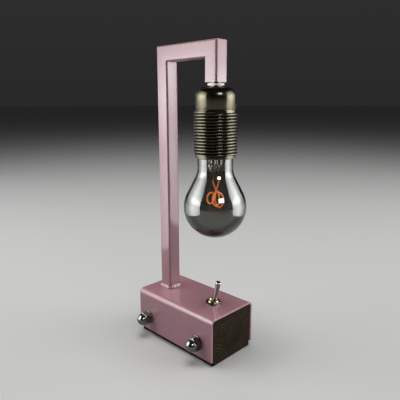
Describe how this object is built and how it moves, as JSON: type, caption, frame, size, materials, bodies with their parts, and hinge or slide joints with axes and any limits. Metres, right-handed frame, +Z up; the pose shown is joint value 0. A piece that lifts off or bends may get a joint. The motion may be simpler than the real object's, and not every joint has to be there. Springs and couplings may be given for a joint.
{
  "type": "table lamp with toggle switch",
  "caption": "Table lamp: square steel tube gallows on a folded steel and wood block base, threaded lampholder with a globe bulb that screws out, and a toggle switch.",
  "frame": {"origin": "centre of the wood block's resting face, where the lamp stands", "axes": "+Z up, +X along the base from the post to the switch, -Y the long side that faces the user"},
  "size_m": [0.1133, 0.088, 0.3005],
  "materials": {
    "base_cover": "glossy powder coat, dusty pink",
    "wood_block": "dark oiled",
    "cord_inlet_bush": "moulded",
    "tie_rod_left": "plain",
    "tie_rod_right": "plain",
    "rod_washer_left_front": "polished",
    "rod_washer_left_back": "polished",
    "rod_washer_right_front": "polished",
    "rod_washer_right_back": "polished",
    "dome_nut_left_front": "polished",
    "dome_nut_left_back": "polished",
    "dome_nut_right_front": "polished",
    "dome_nut_right_back": "polished",
    "post_tube": "glossy powder coat, dusty pink",
    "arm_tube": "glossy powder coat, dusty pink",
    "drop_tube": "glossy powder coat, dusty pink",
    "drop_plug": "glossy powder coat, dusty pink",
    "post_weld_bead": "glossy powder coat, dusty pink",
    "switch_bushing": "polished",
    "switch_body": "moulded",
    "switch_washer": "satin",
    "switch_nut": "polished",
    "switch_back_nut": "plain",
    "switch_lug_common": "satin",
    "switch_lug_load": "satin",
    "inner_flex": "matt sheath",
    "nipple": "plain",
    "nipple_nut": "polished",
    "holder_dome": "black pearl chrome",
    "holder_mantle": "black pearl chrome",
    "holder_core": "unglazed white",
    "thread_shell": "satin",
    "centre_contact": "satin",
    "terminal_screw_live": "satin",
    "terminal_screw_neutral": "satin",
    "switch_lever": "polished",
    "bulb_cap": "nickel plated",
    "cap_insulator": "moulded",
    "tip_contact": "nickel plated",
    "bulb_glass": "smoked, clear",
    "glass_stem": "clear",
    "lead_left": "nickel plated",
    "lead_right": "nickel plated",
    "filament": "amber phosphor coat on a flexible LED strip"
  },
  "bodies": {
    "lamp": {"base_cover": "base_cover", "wood_block": "wood_block", "cord_inlet_bush": "cord_inlet_bush", "tie_rod_left": "tie_rod_left", "tie_rod_right": "tie_rod_right", "rod_washer_left_front": "rod_washer_left_front", "rod_washer_left_back": "rod_washer_left_back", "rod_washer_right_front": "rod_washer_right_front", "rod_washer_right_back": "rod_washer_right_back", "dome_nut_left_front": "dome_nut_left_front", "dome_nut_left_back": "dome_nut_left_back", "dome_nut_right_front": "dome_nut_right_front", "dome_nut_right_back": "dome_nut_right_back", "post_tube": "post_tube", "arm_tube": "arm_tube", "drop_tube": "drop_tube", "drop_plug": "drop_plug", "post_weld_bead": "post_weld_bead", "switch_bushing": "switch_bushing", "switch_body": "switch_body", "switch_washer": "switch_washer", "switch_nut": "switch_nut", "switch_back_nut": "switch_back_nut", "switch_lug_common": "switch_lug_common", "switch_lug_load": "switch_lug_load", "inner_flex": "inner_flex", "nipple": "nipple", "nipple_nut": "nipple_nut", "holder_dome": "holder_dome", "holder_mantle": "holder_mantle", "holder_core": "holder_core", "thread_shell": "thread_shell", "centre_contact": "centre_contact", "terminal_screw_live": "terminal_screw_live", "terminal_screw_neutral": "terminal_screw_neutral"},
    "toggle_lever": {"switch_lever": "switch_lever"},
    "bulb_travel": {"tip_contact": "tip_contact"},
    "bulb": {"bulb_cap": "bulb_cap", "cap_insulator": "cap_insulator", "bulb_glass": "bulb_glass", "glass_stem": "glass_stem", "lead_left": "lead_left", "lead_right": "lead_right", "filament": "filament"}
  },
  "joints": [
    {"name": "toggle_throw", "type": "hinge", "parent": "lamp", "child": "toggle_lever", "pos_m": [0.0278, 0, 0.0465], "axis": [0, -1, 0], "range_deg": [0, 30]},
    {"name": "bulb_out", "type": "slide", "parent": "lamp", "child": "bulb_travel", "axis": [0, 0, -1], "range_m": [0, 0.01089]},
    {"name": "bulb_turn", "type": "hinge", "parent": "bulb_travel", "child": "bulb", "pos_m": [0.02955, 0, 0.2025], "axis": [0, 0, -1], "range_deg": [0, 1080]}
  ],
  "couplings": [
    {"joint": "bulb_turn", "follows": "bulb_out", "rad_per_m": 1731.4}
  ]
}
